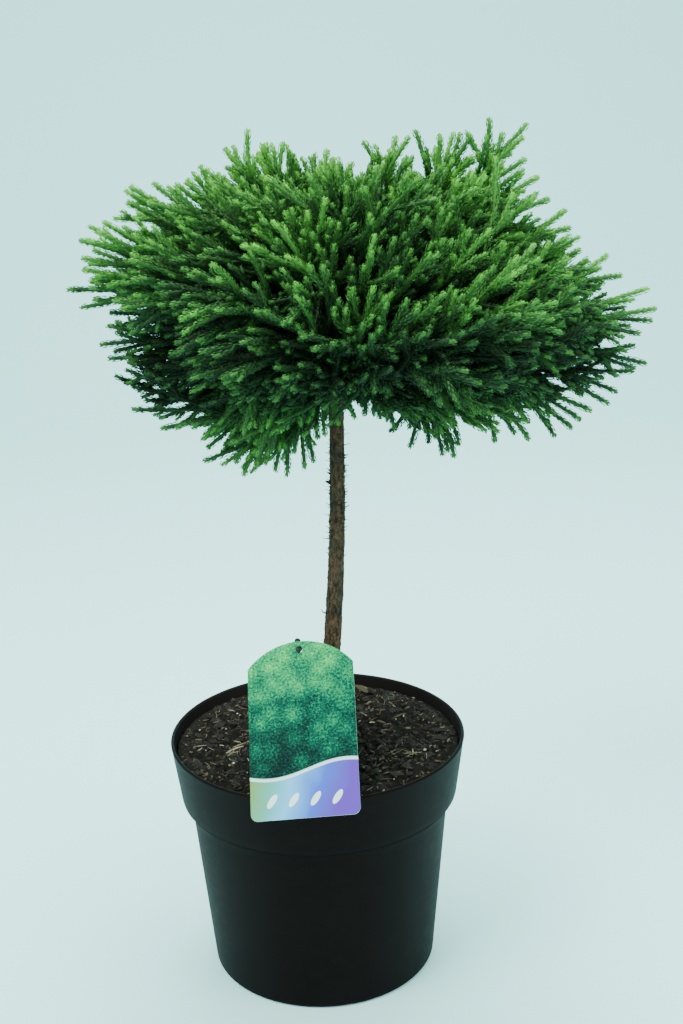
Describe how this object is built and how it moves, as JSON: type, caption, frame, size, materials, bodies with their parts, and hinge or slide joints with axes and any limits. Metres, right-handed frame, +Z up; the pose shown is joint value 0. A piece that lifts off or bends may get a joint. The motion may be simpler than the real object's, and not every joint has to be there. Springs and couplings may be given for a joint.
{
  "type": "potted conifer standard",
  "caption": "Dwarf Japanese cedar grown as a small standard: a bare leaning stem in a round nursery pot, under a flattened crown of needled shoots, with a plant label on its pin.",
  "frame": {"origin": "middle of the pot's flat underside", "axes": "+Z up the plant, -Y towards the front, where the label hangs, +X to the right seen from the front"},
  "size_m": [0.4924, 0.4389, 0.7574],
  "materials": {
    "pot": "smooth black moulded plastic, semi-matt, lightly scuffed",
    "soil": "dark moist potting mix with straw fibres and bark chips",
    "bark": "fibrous reddish-brown bark",
    "foliage": "awl-shaped green needles, lime at the tips",
    "label": "printed satin plastic card",
    "pin": "black moulded plastic"
  },
  "bodies": {
    "root": {"pot": "pot", "soil": "soil", "trunk": "bark", "bough_low_1": "bark", "bough_low_2": "bark", "bough_low_3": "bark", "bough_low_4": "bark", "bough_low_5": "bark", "bough_low_6": "bark", "bough_mid_1": "bark", "bough_mid_2": "bark", "bough_mid_3": "bark", "bough_mid_4": "bark", "bough_mid_5": "bark", "bough_mid_6": "bark", "bough_mid_7": "bark", "bough_top_1": "bark", "bough_top_2": "bark", "bough_top_3": "bark", "bough_top_4": "bark", "foliage_low_1": "foliage", "foliage_low_2": "foliage", "foliage_low_3": "foliage", "foliage_low_4": "foliage", "foliage_low_5": "foliage", "foliage_low_6": "foliage", "foliage_mid_1": "foliage", "foliage_mid_2": "foliage", "foliage_mid_3": "foliage", "foliage_mid_4": "foliage", "foliage_mid_5": "foliage", "foliage_mid_6": "foliage", "foliage_mid_7": "foliage", "foliage_top_1": "foliage", "foliage_top_2": "foliage", "foliage_top_3": "foliage", "foliage_top_4": "foliage", "label": "label", "label_pin": "pin"}
  },
  "joints": []
}
